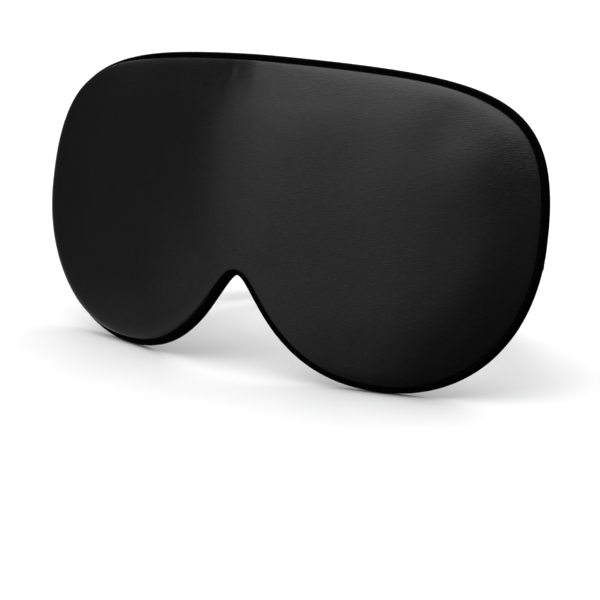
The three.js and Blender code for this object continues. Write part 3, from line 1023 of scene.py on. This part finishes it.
def lining_material():
    """Soft black cloth against the face: duller than the front, with the same long threads."""
    material, tree, shader = new_material(
        "lining_finish", Sheen_Weight=0.2, Sheen_Roughness=0.5, Specular_IOR_Level=0.35,
    )
    streak = noise(tree, woven(tree, (0.5, 1.9, 0.3)), detail=4, roughness=0.6)
    painted(tree, shader, streak, (0.004, 0.004, 0.0042), (0.013, 0.013, 0.0135))
    roughened(tree, shader, streak, 0.6, 0.48)
    broad = noise(tree, woven(tree, (0.06, 0.07, 0.05)), detail=2)
    soft = bump(tree, shader, broad, 1.8 * MM)
    bump(tree, shader, streak, 0.06 * MM, under=soft)
    return material


def binding_material():
    """Black bias tape: fine uneven ribs across it, darker than the satin."""
    material, tree, shader = new_material("binding_finish", Specular_IOR_Level=0.02)
    ribs = stripes(tree, woven(tree, (1.8, 0, 0)))
    cloth = noise(tree, woven(tree, (0.6, 0.6, 0.6)), detail=3)
    painted(tree, shader, cloth, (0.0002, 0.0002, 0.0002), (0.0007, 0.0007, 0.0007))
    roughened(tree, shader, cloth, 0.62, 0.8)
    bump(tree, shader, maths(tree, "MULTIPLY", ribs, cloth), 0.12 * MM)
    return material


def elastic_material():
    """Black woven elastic: fuzzy cross threads over the lengthwise ribs of the mesh."""
    material, tree, shader = new_material(
        "elastic_finish", Sheen_Weight=0.15, Sheen_Roughness=0.4, Specular_IOR_Level=0.3,
    )
    cross = stripes(tree, woven(tree, (1.25, 0, 0)), 0.7)
    fuzz = noise(tree, woven(tree, (1.3, 1.3, 1.3)), scale=2.0, detail=4)
    fuzzy_cross = maths(tree, "MULTIPLY", cross, fuzz)
    painted(tree, shader, fuzzy_cross, (0.003, 0.003, 0.003), (0.017, 0.017, 0.018), start=0.1)
    roughened(tree, shader, fuzz, 0.6, 0.85)
    bump(tree, shader, maths(tree, "MULTIPLY", cross, spread(tree, fuzz, 0.8, 1.2)), 0.2 * MM)
    return material


def thread_material():
    """Polyester sewing thread: its plies show as close ridges across it."""
    material, tree, shader = new_material("thread_finish", Specular_IOR_Level=0.08)
    plies = stripes(tree, woven(tree, (2.2, 0, 0)))
    fibre = noise(tree, woven(tree, (6, 6, 6)), detail=2)
    painted(tree, shader, fibre, (0.0005, 0.0005, 0.0005), (0.002, 0.002, 0.002))
    roughened(tree, shader, fibre, 0.55, 0.75)
    bump(tree, shader, plies, 0.06 * MM)
    return material


def object_place(tree):
    """Place in the object's own metres."""
    return add_node(tree, "ShaderNodeTexCoord").outputs["Object"]


def plastic_material():
    """Moulded black plastic: a fine spark texture, rubbed smoother and lighter in places."""
    material, tree, shader = new_material("plastic_finish", Specular_IOR_Level=0.5)
    grain = noise(tree, object_place(tree), scale=2600, detail=3)
    rub = noise(tree, object_place(tree), scale=160, detail=4)
    painted(tree, shader, rub, (0.006, 0.006, 0.0065), (0.014, 0.014, 0.015))
    roughened(tree, shader, rub, 0.28, 0.48)
    bump(tree, shader, grain, 0.03 * MM)
    return material


def wadding_material():
    """White polyester batting: tangled fibres."""
    material, tree, shader = new_material("wadding_finish", Specular_IOR_Level=0.2, Sheen_Weight=0.3)
    fibre = noise(tree, object_place(tree), scale=900, detail=6, roughness=0.7)
    painted(tree, shader, fibre, (0.5, 0.5, 0.48), (0.85, 0.85, 0.82))
    roughened(tree, shader, fibre, 0.85, 1.0)
    bump(tree, shader, fibre, 0.6 * MM)
    return material


def blackout_material():
    """Coated blackout cloth: a plain weave under a dull film."""
    material, tree, shader = new_material("blackout_finish", Specular_IOR_Level=0.4)
    weave = noise(tree, object_place(tree), scale=1800, detail=2)
    film = noise(tree, object_place(tree), scale=70, detail=3)
    painted(tree, shader, film, (0.004, 0.004, 0.004), (0.012, 0.012, 0.012))
    roughened(tree, shader, film, 0.5, 0.7)
    bump(tree, shader, weave, 0.08 * MM)
    return material


def finish(things, material):
    """Gives each thing the material alone."""
    for thing in things:
        thing.data.materials.clear()
        thing.data.materials.append(material)


# ---- Camera, floor and light ----

def toward(azimuth, elevation):
    """Unit vector from the object to an eye or lamp: azimuth 0 is straight in front, growing to +X."""
    a = math.radians(azimuth)
    e = math.radians(elevation)
    return Vector((math.sin(a) * math.cos(e), -math.cos(a) * math.cos(e), math.sin(e)))


def add_camera():
    """The photo's viewing angle."""
    data = bpy.data.cameras.new("camera")
    data.lens = CAMERA_LENS
    data.sensor_width = CAMERA_SENSOR
    data.clip_start, data.clip_end = CAMERA_CLIP
    camera = bpy.data.objects.new("camera", data)
    bpy.context.collection.objects.link(camera)
    back = toward(CAMERA_AZIMUTH, CAMERA_ELEVATION)
    camera.location = middle("rim_binding") + CAMERA_AIM + back * CAMERA_DISTANCE
    camera.rotation_euler = back.to_track_quat("Z", "Y").to_euler()
    bpy.context.scene.camera = camera


def add_floor():
    """White paper that the mask stands on."""
    size = FLOOR_HALF
    corners = [(-size, -size, 0), (size, -size, 0), (size, size, 0), (-size, size, 0)]
    floor = new_object("floor", corners, [(0, 1, 2, 3)])
    material, tree, shader = new_material("studio_floor", Roughness=0.9, Specular_IOR_Level=0.1)
    paper = noise(tree, object_place(tree), scale=40, detail=2)
    painted(tree, shader, paper, (0.93, 0.93, 0.93), (0.95, 0.95, 0.95))
    floor.data.materials.append(material)
    floor.visible_glossy = False
    floor.visible_shadow = False


def add_softbox(name, azimuth, elevation, distance, width, height, radiance):
    """A flat lamp that faces the object; at radiance 1 its mirror image is white."""
    data = bpy.data.lights.new(name, "AREA")
    data.shape = "RECTANGLE"
    data.size = width
    data.size_y = height
    data.energy = radiance * math.pi * width * height
    lamp = bpy.data.objects.new(name, data)
    bpy.context.collection.objects.link(lamp)
    aim = toward(azimuth, elevation)
    lamp.location = middle("rim_binding") + aim * distance
    lamp.rotation_euler = aim.to_track_quat("Z", "Y").to_euler()


def add_studio():
    """Lamps, and a world that looks white behind the floor but adds little light."""
    world = bpy.data.worlds.new("studio")
    world.use_nodes = True
    tree = world.node_tree
    backdrop = add_node(tree, "ShaderNodeBackground", {"Color": WHITE, "Strength": 1.0})
    dim = tree.nodes["Background"]
    dim.inputs["Color"].default_value = WHITE
    dim.inputs["Strength"].default_value = WORLD_LIGHT
    rays = add_node(tree, "ShaderNodeLightPath")
    mix = add_node(tree, "ShaderNodeMixShader", {0: rays.outputs["Is Camera Ray"]})
    tree.links.new(dim.outputs[0], mix.inputs[1])
    tree.links.new(backdrop.outputs[0], mix.inputs[2])
    tree.links.new(mix.outputs[0], tree.nodes["World Output"].inputs["Surface"])
    bpy.context.scene.world = world
    for lamp in SOFTBOXES:
        add_softbox(*lamp)
    sky = bpy.data.lights.new("sky", "SUN")
    sky.energy = SKY_LIGHT
    sky.angle = math.radians(SKY_ANGLE)
    bpy.context.collection.objects.link(bpy.data.objects.new("sky", sky))
    bpy.context.scene.view_settings.view_transform = "Standard"


# ---- Assembly ----

add_camera()
add_floor()
add_studio()

panel_plan = panel_mesh(RING_INSETS[0])
panel_discs = disc_samples(panel_plan[0], panel_plan[2])
face = add_panel("face_cloth", 1, FRONT_PUFF, panel_plan, panel_discs)
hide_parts("face_panel")
lining = add_panel("lining_cloth", -1, BACK_PUFF, panel_plan, panel_discs)
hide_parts("lining_panel")
front_wadding = add_wadding("wadding_front", 1, FRONT_PUFF)
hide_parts("front_wadding")
rear_wadding = add_wadding("wadding_rear", -1, BACK_PUFF)
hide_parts("rear_wadding")
tape = add_binding()
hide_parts("rim_binding")
stitches = [
    add_binding_stitches("binding_stitches_front", 1),
    add_binding_stitches("binding_stitches_back", -1),
]
for piece in (face, lining, front_wadding, rear_wadding, tape, *stitches):
    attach(piece, "mask")

left_corner = np.array([RING_TAIL_X - BAND_CLEAR, REAR_BACK - CORNER_RADIUS])
right_corner = np.array([REAR_END_X + BAND_CLEAR, REAR_BACK + PLY_OFFSET - CORNER_RADIUS])
bands = add_strap_side("left", -1, left_corner)
bands += add_strap_side("right", 1, right_corner)
bands += add_rear_bands()
tacks = add_tacks()

hardware = [frame["nodes"]["ring"], frame["nodes"]["slider"]]
for part in hardware:
    weld = part.modifiers.new("weld", "WELD")
    weld.merge_threshold = WELD_LIMIT
    bevel = part.modifiers.new("bevel", "BEVEL")
    bevel.width = EDGE_BEVEL
    bevel.segments = 3
    bevel.limit_method = "ANGLE"

finish([face], satin_material())
finish([lining], lining_material())
finish([tape], binding_material())
finish(bands, elastic_material())
finish(stitches + tacks, thread_material())
finish(hardware, plastic_material())
finish([front_wadding, rear_wadding], wadding_material())
finish([frame["nodes"]["blackout_layer"]], blackout_material())
